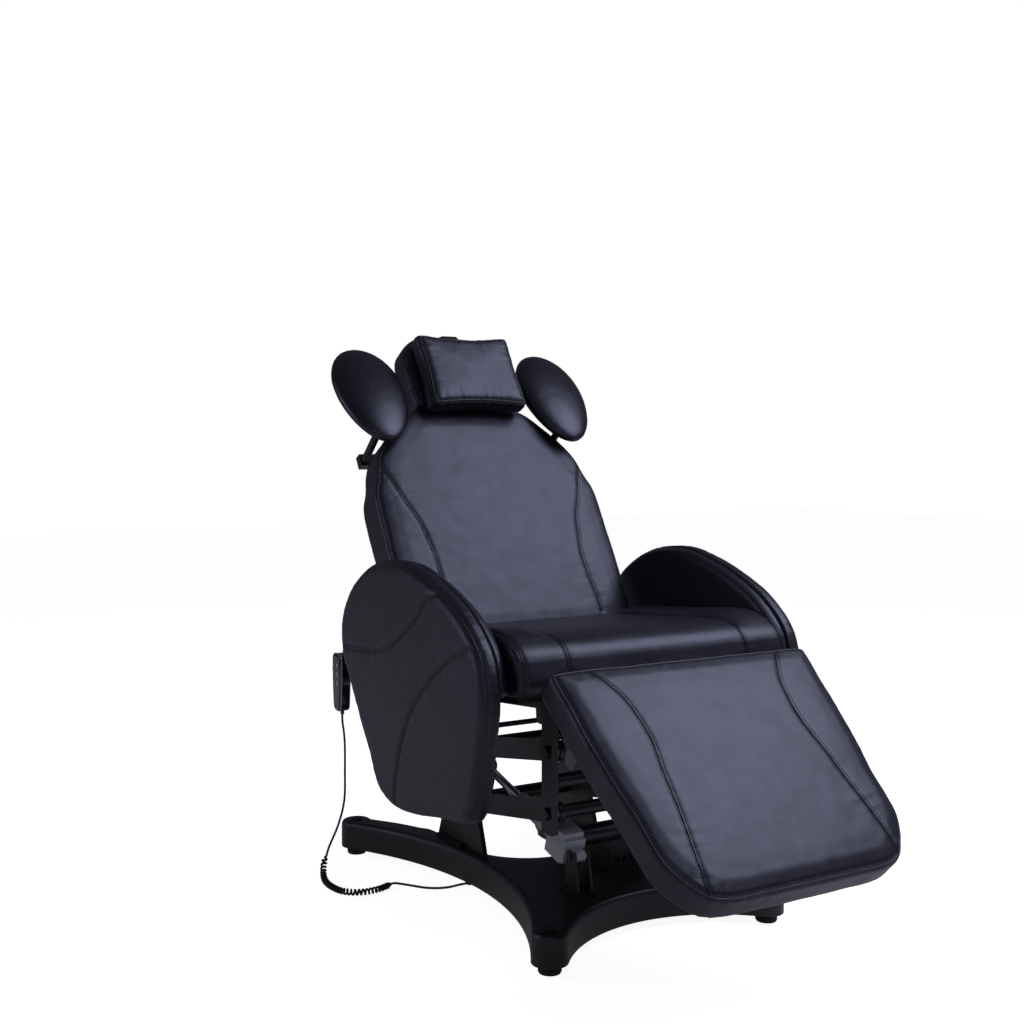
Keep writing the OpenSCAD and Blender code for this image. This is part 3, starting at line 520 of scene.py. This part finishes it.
def sewn(name, rows, body):
    """Stitches along the rows, as one plain mesh on a body."""
    made, mesh = bmesh.new(), bpy.data.meshes.new(name + "_rows")
    for row in rows:
        verts = [made.verts.new(q) for q in row]
        for a, b in zip(verts, verts[1:]):
            made.edges.new((a, b))
    made.to_mesh(mesh)
    made.free()
    holder = bpy.data.objects.new(name + "_rows", mesh)
    bpy.context.scene.collection.objects.link(holder)
    nodes = holder.modifiers.new("stitches", "NODES")
    nodes.node_group = STITCHES
    for item in STITCHES.interface.items_tree:
        if item.in_out == "INPUT" and item.name == "Thread":
            nodes[item.identifier] = THREAD
    result = evaluated(holder)
    bpy.data.objects.remove(holder)
    result.name = name
    return new_piece(name, result, body, THREAD)


def beside(tree, points, normals, off_mm):
    """A row of stitches at a distance beside a seam, laid on the surface."""
    along = np.gradient(points, axis=0)
    along /= np.linalg.norm(along, axis=1)[:, None]
    side = np.cross(normals, along)
    side /= np.linalg.norm(side, axis=1)[:, None]
    row = []
    for q in points + side * off_mm / 1000:
        hit, normal, _, _ = tree.find_nearest(Vector(q))
        row.append(np.array(hit) + np.array(normal) * 0.0002)
    row = np.array(row)
    row[1:-1] = (row[:-2] + 2 * row[1:-1] + row[2:]) / 4
    return row


WELT_R, STITCH_OFF = 1.9, 5.0   # radius of the piping, and how far the stitches lie from it, in mm
WELTS, ROWS = {}, {}


def upholstered(name, rings, place, body, node, lines=(), voxel=4.5, ease=5, seam=(2.4, 5.0), sag=1.3,
                pucker=1.0, seed=1, material=None, stitched=True):
    """One padded piece: an even skin pressed at its seams, with piping and stitches kept for its body."""
    mesh = even_skin(loft(name, rings, place), voxel, ease)
    tree = surface_of(mesh)
    found = [laid(tree, guess) for guess in lines]
    tailored(mesh, found, seam[0], seam[1], sag, pucker, seed)
    shade(mesh)
    piece = new_piece(name, mesh, body, material or HIDE, nodes=(node,))
    tree = surface_of(mesh)
    for points, normals in found:
        inside, _ = laid(tree, points)
        WELTS.setdefault(body, []).append(inside)
        if stitched:
            for off in (-STITCH_OFF, STITCH_OFF):
                ROWS.setdefault(body, []).append(beside(tree, points, normals, off))
    return piece


# ---- the handset's cord: hangs, runs in a curl over the floor, and goes under the base ----
# Its length is read off the wire below, so it follows from the route and the pitch.
CORD_R, CURL_R, CURL_PITCH = 2.5, 5.0, 8.6
TURN_STEPS, RAMP_STEPS = 14, 21   # points in a turn, and points over which the curl opens and closes
HANG = [(-352, 439, 360.2), (-352, 439, 344), (-346, 441, 300), (-345, 443, 230), (-347, 443, 165),
        (-362, 443, 112), (-384, 442, 68), (-392, 439, 50)]
CURL = [(-392, 439, 50), (-400, 436, 32), (-408, 420, 15), (-414, 396, 8), (-418, 360, 8), (-413, 322, 8),
        (-398, 299, 8), (-378, 287, 8), (-354, 284, 8), (-328, 289, 8), (-300, 303, 8)]
GROUND = [(-300, 303, 8), (-290, 307, 6.5), (-278, 304, 4), (-264, 288, 3), (-238, 252, 2.8),
          (-205, 234, 2.8), (-172, 232, 4), (-152, 232, 4)]


def helix(points, pitch_mm):
    """The wire of a curly cord, wound about a route, in mm."""
    p = resampled([Vector(q) for q in points], pitch_mm / TURN_STEPS)
    along = np.gradient(p, axis=0)
    along /= np.linalg.norm(along, axis=1)[:, None]
    side, out, n = np.cross(along[0], [0.0, 1.0, 0.2]), [], len(p)
    for i in range(n):
        side = side - along[i] * side.dot(along[i])
        side /= np.linalg.norm(side)
        up = np.cross(along[i], side)
        turn = 2 * math.pi * i / TURN_STEPS
        grow = min(1.0, i / RAMP_STEPS, (n - 1 - i) / RAMP_STEPS)
        out.append(p[i] + CURL_R * grow * (math.cos(turn) * side + math.sin(turn) * up))
    return out


wire = route(HANG, 4)[:-1] + helix(route(CURL, 6), CURL_PITCH) + route(GROUND, 4)[1:]
cord_curve = bpy.data.curves.new("handset_cord", "CURVE")
cord_curve.dimensions, cord_curve.bevel_depth, cord_curve.bevel_resolution = "3D", CORD_R / 1000, 3
cord_curve.use_fill_caps = True
spline = cord_curve.splines.new("POLY")
spline.points.add(len(wire) - 1)
for point, q in zip(spline.points, wire):
    point.co = (q[0] / 1000, q[1] / 1000, q[2] / 1000, 1.0)
spline.use_smooth = True
cord_curve.materials.append(SLOT_FINISH["cord_rubber"])
cord = bpy.data.objects.new("handset_cord", cord_curve)
bpy.context.scene.collection.objects.link(cord)
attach(cord, "base")
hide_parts("cord_hanging", "cord_curly", "cord_floor")

# ---- seat ----


def seat_side(h):
    t = SEAT_T
    return smooth([(-138, 0.6), (-163, 8), (-171, 28), (-168, 0.42 * t), (-161, 0.66 * t), (-143, 0.83 * t),
                   (-110, 0.94 * t + h / 2), (-62, t - 1 + h), (20, t + h), (150, t + h), (258, t + h),
                   (290, t - 4 + h / 2), (300, t - 18), (294, 0.66 * t), (287, 0.4 * t), (284, 17), (275, 2),
                   (262, 0), (236, 0), (150, 0), (0, 0), (-100, 0)], 6)[::-1]


def seat_h(share):
    """How much of the bolster's height a station across the seat has."""
    return float(np.interp(abs(share), [0, 0.60, 0.665, 0.72, 0.80, 0.9, 0.97, 1.0],
                           [0.12, 0.0, -0.25, 0.55, 1.0, 1.0, 0.9, 0.0]))


stations = sorted({s * q for s in (-1, 1) for q in
                   (1.0, 0.992, 0.98, 0.96, 0.93, 0.88, 0.8, 0.74, 0.70, 0.665, 0.63, 0.58, 0.45, 0.3, 0.15,
                    0.0)})
seat_rings = []
for share in stations:
    edge = float(np.interp(abs(share), [0.93, 0.96, 0.98, 0.992, 1.0], [0, 0.6, 2.0, 5.0, 9.0]))
    seat_rings.append([(share * SEAT_W / 2, q[0], q[1] + CUSH_Z)
                       for q in inset(seat_side(seat_h(share) * BOLSTER_H), edge)])


def seat_line(x, h, low, high):
    """A lengthwise seam: from the front's lower edge, up and over the top."""
    side = seat_side(h)[::-1]
    lowest = min(range(len(side)), key=lambda i: side[i][0] + 0.4 * side[i][1])
    run = side[lowest:] + side[:lowest]
    run = [q for q in run if q[1] > low and q[0] < high and not (q[0] > 0 and q[1] < 60)]
    return [seat_at(x, q[0], q[1] + CUSH_Z) for q in run]


upholstered("seat_cushion_cover", seat_rings, seat_at, "seat", "seat_cushion",
            lines=[seat_line(s * 211, 0, 6, 292) for s in (-1, 1)]
            + [seat_line(s * 306, 12, 6, 285) for s in (-1, 1)],
            voxel=4.5, seed=1)

# ---- side panels and their linings ----
PANEL = smooth([(206, 271), (119, 255), (37, 229), (-40, 194), (-96, 152), (-124, 117), (-138, 80),
                (-144, 40), (-138, -5), (-125, -75), (-108, -143), (-83, -183), (-33, -199), (52, -210),
                (132, -224), (220, -232), (277, -221), (317, -193), (350, -136), (399, -71), (449, 5),
                (474, 40), (486, 85), (480, 135), (447, 186), (395, 227), (316, 261)], 5)
LINING = smooth([(206, 266), (119, 250), (38, 224), (-38, 189), (-92, 148), (-120, 114), (-132, 80),
                 (-134, 56), (-116, 46), (0, 45), (220, 45), (420, 45), (460, 50), (478, 85), (474, 132),
                 (442, 181), (392, 221), (315, 255)], 5)
SEAM_UPPER = [(470, 70), (414, 73), (324, 79), (230, 101), (141, 152), (77, 207), (40, 228)]
SEAM_LOWER = [(-140, 146), (-133, 145), (-41, 118), (58, 57), (143, -25), (196, -125), (220, -224)]
for side, label in ((-1, "left"), (1, "right")):
    place = panel_at(side)
    edge_seam = [place(q[0], q[1], PANEL_T + 3) for q in inset(PANEL, 3)]
    upholstered(f"arm_panel_{label}_cover", slab(PANEL, [(0, 0), (0, PANEL_T - 3), (3, PANEL_T + 2),
                                                         (9, PANEL_T + 0.55 * PANEL_CROWN),
                                                         (20, PANEL_T + 0.85 * PANEL_CROWN),
                                                         (36, PANEL_T + PANEL_CROWN - 2)], crown=2),
                place, "seat", f"arm_panel_{label}",
                lines=[[place(a, b, PANEL_T + PANEL_CROWN) for a, b in route(SEAM_UPPER, 6)],
                       [place(a, b, PANEL_T + PANEL_CROWN) for a, b in route(SEAM_LOWER, 6)],
                       edge_seam + edge_seam[:1]],
                voxel=4.5, sag=0.9, seed=3 + side)
    upholstered(f"arm_lining_{label}_cover",
                slab(LINING, [(13, 0.5), (7, 2), (3, 5), (1, 9), (-1.5, 15), (-3, LINING_T)]),
                lining_at(side), "seat", f"arm_lining_{label}", voxel=4.5, sag=0.8, seed=6 + side)

# ---- back ----
b = BACK_HW
BACK = smooth(mirrored([(0.3 * b, 10), (0.88 * b, 12), (b - 3, 26), (b, 90), (b + 1, CREASE + 0.42 * BACK_L),
                        (b - 1, CREASE + 0.585 * BACK_L), (0.95 * b, CREASE + 0.667 * BACK_L),
                        (0.88 * b, CREASE + 0.79 * BACK_L), (0.67 * b, CREASE + 0.92 * BACK_L),
                        (0.52 * b, CREASE + BACK_L - 5), (0.4 * b, CREASE + BACK_L)]), 5)
BACK_SEAM = [(200, 4), (196, 50), (191, 100), (190, 151), (197, 198), (208, 248), (231, 303), (250, 353),
             (276, 400), (290, 420)]
back_profile = [(10, BACK_FRONT - BACK_T), (3, BACK_FRONT - BACK_T + 3), (0, BACK_FRONT - BACK_T + 11),
                (0, BACK_FRONT - 12), (3, BACK_FRONT - 4), (10, BACK_FRONT), (26, BACK_FRONT + 3.5),
                (50, BACK_FRONT + 6)]
back_edge = [back_at(q[0], q[1], BACK_FRONT - 4) for q in inset(BACK, 2)]
upholstered("back_cushion_cover", pad(BACK, back_profile, crown=4), back_at, "back", "back_cushion",
            lines=[back_edge + back_edge[:1]]
            + [[back_at(s * x, CREASE + u, BACK_FRONT + 8) for x, u in route(BACK_SEAM, 6)] for s in (-1, 1)],
            voxel=4.5, sag=1.6, seed=11)

# ---- headrest, pillow and ear pads ----
h_u, w = CREASE + BACK_L + 6, HEAD_W
HEAD = smooth(mirrored([(0.25 * w, h_u), (0.44 * w, h_u + 2), (0.485 * w, h_u + 14),
                        (0.49 * w, h_u + 0.3 * HEAD_L), (0.495 * w, h_u + 0.6 * HEAD_L),
                        (0.46 * w, h_u + 0.84 * HEAD_L),
                        (0.35 * w, h_u + 0.965 * HEAD_L), (0.2 * w, h_u + HEAD_L)]), 5)
head_edge = [back_at(q[0], q[1], 70) for q in inset(HEAD, 1)]
upholstered("headrest_cushion_cover",
            pad(HEAD, [(8, 5), (2, 8), (0, 13), (0, 68), (3, 76), (9, 80), (18, 82)]),
            back_at, "headrest", "headrest_cushion", lines=[head_edge + head_edge[:1]], voxel=4.0, sag=1.0,
            seed=13, stitched=False)
p_u, w = h_u - 25, PILLOW_W
pillow_half = [(0.25 * w, p_u + 4), (0.44 * w, p_u), (0.49 * w, p_u + 10), (0.475 * w, p_u + 0.5 * PILLOW_L),
               (0.48 * w, p_u + PILLOW_L - 10), (0.43 * w, p_u + PILLOW_L), (0.25 * w, p_u + PILLOW_L - 6)]
PILLOW = smooth([(0, p_u + 6)] + pillow_half + [(0, p_u + PILLOW_L - 9)]
                + [(-x, y) for x, y in reversed(pillow_half)], 5)
pillow_edge = [back_at(q[0] * 0.955 + PILLOW_X, q[1] * 0.95 + 0.05 * (p_u + PILLOW_L / 2),
                       BACK_FRONT + PILLOW_T - 5) for q in PILLOW]
upholstered("pillow_cover", pad(PILLOW, [(14, BACK_FRONT + 5.5), (5, BACK_FRONT + 9), (1, BACK_FRONT + 17),
                                         (0, BACK_FRONT + 32), (0, BACK_FRONT + 44), (2, BACK_FRONT + 51),
                                         (6, BACK_FRONT + 56), (12, BACK_FRONT + 59), (20, BACK_FRONT + 61)],
                                crown=4),
            lambda x, u, n: back_at(x + PILLOW_X, u, n), "headrest", "pillow",
            lines=[pillow_edge + pillow_edge[:1]], voxel=3.6, seam=(1.8, 3.6), sag=1.4, pucker=1.6,
            seed=17)
ear_rings = []
for t in [-84, -76, -66, -54, -42, -30, -18, -6, 6, 18, 30, 42, 54, 66, 76, 84]:
    c, s = math.cos(math.radians(t)), math.sin(math.radians(t))
    ear_rings.append([(c * EAR_B * math.cos(a) * (1 + 0.12 * math.sin(a)), c * EAR_A * math.sin(a), EAR_C * s)
                      for a in (2 * math.pi * i / 72 for i in range(72))])
for side, label in ((-1, "left"), (1, "right")):
    place = ear_at(side)
    rim = [place(EAR_B * math.cos(a) * (1 + 0.12 * math.sin(a)), EAR_A * math.sin(a), -9)
           for a in (2 * math.pi * i / 72 for i in range(73))]
    upholstered(f"ear_pad_{label}_cover", ear_rings, place, f"{label}_ear", f"ear_{label}", lines=[rim],
                voxel=3.6, ease=9, seam=(0.8, 3.0), sag=0.4, pucker=0.4, seed=20 + side,
                material=HIDE_EAR, stitched=False)

# ---- leg rest ----
LEG = smooth(mirrored([(x * LEG_HW, y * LEG_L) for x, y in [
    (0.3, -1), (0.55, -0.998), (0.7, -0.975), (0.8, -0.915), (0.865, -0.85), (0.897, -0.78), (0.913, -0.625),
    (0.943, -0.49), (0.967, -0.317), (0.973, -0.171), (0.985, -0.03), (0.93, 0.002), (0.4, 0.004)]]), 5)
LEG_SEAM = [(222, 2), (196, -45), (178, -90), (171, -165), (181, -230), (190, -300), (202, -375), (213, -447),
            (220, -476)]
leg_low = LEG_TOP - LEG_T
leg_edge = [leg_at(q[0], q[1], LEG_TOP - 3) for q in inset(LEG, 2)]
upholstered("leg_cushion_cover",
            pad(LEG, [(7, leg_low), (1, leg_low + 3), (0, leg_low + 10), (0, LEG_TOP - 11), (3, LEG_TOP - 4),
                      (10, LEG_TOP), (32, LEG_TOP + 6), (60, LEG_TOP + 8)], crown=2.5),
            leg_at, "leg_rest", "leg_cushion",
            lines=[leg_edge + leg_edge[:1]]
            + [[leg_at(s * x, y, LEG_TOP + 9) for x, y in route(LEG_SEAM, 6)] for s in (-1, 1)],
            voxel=4.5, sag=1.3, seed=23)

for body, paths in WELTS.items():
    tubes(f"piping_{body}", paths, WELT_R, 8, body, WELT)
for body, rows in ROWS.items():
    sewn(f"stitches_{body}", rows, body)

# ---- base cover: a moulded shell with a rolled upper edge ----
front_r = (FOOT_X ** 2 + NOTCH ** 2 - END_R ** 2) / (2 * (NOTCH + END_R))
side_r = (FOOT_Y ** 2 + WAIST ** 2 - END_R ** 2) / (2 * (WAIST + END_R))
front_c = (0.0, BASE_Y - FOOT_Y + NOTCH - front_r)
side_c = (FOOT_X - WAIST + side_r, BASE_Y)
front_a = math.degrees(math.atan2(BASE_Y - FOOT_Y - front_c[1], FOOT_X))
side_a = math.degrees(math.atan2(FOOT_Y, side_c[0] - FOOT_X))
rear_y = BASE_Y + FOOT_Y
REAR_END = 200.0   # where the rounding of a rear foot ends, in degrees
rear_turn = math.radians(REAR_END)
tail = route([(FOOT_X + END_R * math.cos(rear_turn), rear_y + END_R * math.sin(rear_turn)),
              (FOOT_X - 74, rear_y - 78), (FOOT_X - 99, rear_y - 132), (REAR_GAP + 3, rear_y - 176),
              (REAR_GAP, BASE_Y + 87)], 6)[:-1]
base_half = (arc(front_c, front_r, 90, front_a, 30)
             + arc((FOOT_X, BASE_Y - FOOT_Y), END_R, front_a - 180, side_a, 30)
             + arc(side_c, side_r, 180 + side_a, 180 - side_a, 40)[1:]
             + arc((FOOT_X, rear_y), END_R, -side_a, REAR_END, 30) + [np.array(q) for q in tail]
             + arc((0, BASE_Y + 87), REAR_GAP, 0, -90, 24))
BASE = [np.array(q) for q in base_half] + [np.array([-q[0], q[1]]) for q in reversed(base_half[1:])]
cover = loft("base_cover_shell",
             slab(BASE, [(WALL + 3, BASE_TOP - WALL), (WALL, BASE_TOP - WALL - 4), (WALL, COVER_CLEAR),
                         (0.6, COVER_CLEAR), (0, COVER_CLEAR + 1), (0, BASE_TOP - 13), (0.4, BASE_TOP - 9),
                         (1.6, BASE_TOP - 5.6), (3.6, BASE_TOP - 2.9), (6.4, BASE_TOP - 1.2),
                         (10, BASE_TOP - 0.2), (13, BASE_TOP)]), floor_at)
shade(cover)
cover_piece = new_piece("base_cover_shell", cover, "base", SLOT_FINISH["black_abs"], nodes=("base_cover",))
sharp = cover_piece.modifiers.new("crisp", "EDGE_SPLIT")
sharp.split_angle = math.radians(50)

# ---- handset: a bright band around its edge ----
shape = smooth([(0, 0), (0.34, -0.01), (0.48, -0.08), (0.5, -0.4), (0.42, -0.8), (0.36, -0.95), (0.2, -1),
                (-0.2, -1), (-0.36, -0.95), (-0.42, -0.8), (-0.5, -0.4), (-0.48, -0.08), (-0.34, -0.01)], 8)
BAND_IN = 4.6   # from the handset's back to the band
band = [Vector((HANDSET[0] - (HANDSET_T - BAND_IN), HANDSET[1] + a * HANDSET_W,
                HANDSET[2] + c * HANDSET_L)) / 1000 for a, c in shape]
tubes("handset_band", [band], 0.9, 8, "seat", SLOT_FINISH["key_silver"], closed=True)

# ---- finishes of the pieces that keep their CAD shape ----
record = frame["record"]


def slot_rows(value):
    """Every (node, material slot) pair in the record."""
    if isinstance(value, dict):
        if "node" in value and "material_slot" in value:
            yield value["node"], value["material_slot"]
        for inner in value.values():
            yield from slot_rows(inner)
    elif isinstance(value, list):
        for inner in value:
            yield from slot_rows(inner)


for node_name, slot_name in slot_rows(record):
    thing = NODES.get(node_name)
    if thing is None or slot_name not in SLOT_FINISH:
        continue
    if not thing.data.materials:
        thing.data.materials.append(SLOT_FINISH[slot_name])
    for held in thing.material_slots:
        held.material = SLOT_FINISH[slot_name]

# ---- studio: a plain pale floor and soft lights ----
FLOOR_GLOW, FLOOR_SEEN_GLOW = 0.10, 0.82   # the floor lights the underside a little, and looks pale
floor_mesh = bpy.data.meshes.new("studio_floor")
far = 12.0
floor_mesh.from_pydata([(-far, -far, 0), (far, -far, 0), (far, far, 0), (-far, far, 0)], [], [(0, 1, 2, 3)])
floor_piece = bpy.data.objects.new("studio_floor", floor_mesh)
bpy.context.scene.collection.objects.link(floor_piece)
floor_look, floor_tree, floor_shader, _ = begin("matt_studio_floor", {
    "Base Color": linear("#dcdcdc"), "Roughness": 0.8, "Emission Color": linear("#ffffff")})
floor_seen = add(floor_tree, "ShaderNodeLightPath").outputs["Is Camera Ray"]
floor_glow = add(floor_tree, "ShaderNodeMath", settings={"operation": "MULTIPLY_ADD"},
                 values={1: FLOOR_SEEN_GLOW, 2: FLOOR_GLOW}, links={0: floor_seen})
floor_tree.links.new(floor_glow.outputs[0], floor_shader.inputs["Emission Strength"])
floor_mesh.materials.append(floor_look)

world = bpy.data.worlds.new("studio")
bpy.context.scene.world = world
world.use_nodes = True
sky = world.node_tree
sky.nodes.clear()
dim = add(sky, "ShaderNodeBackground", values={"Color": linear("#e3e5ff"), "Strength": 0.10})
backdrop = add(sky, "ShaderNodeBackground", values={"Color": linear("#ffffff"), "Strength": 1.0})
seen = add(sky, "ShaderNodeLightPath").outputs["Is Camera Ray"]
either = add(sky, "ShaderNodeMixShader", links={"Fac": seen, 1: dim.outputs[0], 2: backdrop.outputs[0]})
add(sky, "ShaderNodeOutputWorld", links={"Surface": either.outputs[0]})


def soft_box(name, place, target, size_m, watts, colour):
    data = bpy.data.lights.new(name, "AREA")
    data.shape, data.size, data.energy, data.color = "DISK", size_m, watts, linear(colour)[:3]
    lamp = bpy.data.objects.new(name, data)
    lamp.location = place
    lamp.rotation_euler = (Vector(target) - Vector(place)).to_track_quat("-Z", "Y").to_euler()
    bpy.context.scene.collection.objects.link(lamp)


soft_box("key_box", (1.5, -1.05, 2.75), (0.1, -0.2, 0.4), 2.2, 62, "#e3e5ff")
soft_box("front_box", (-1.9, -2.6, 1.6), (0, 0, 0.5), 1.6, 6, "#e3e5ff")
soft_box("side_box", (-2.9, 1.4, 1.3), (0, 0.1, 0.5), 1.6, 13, "#e3e5ff")
bpy.context.scene.view_settings.view_transform = "Standard"
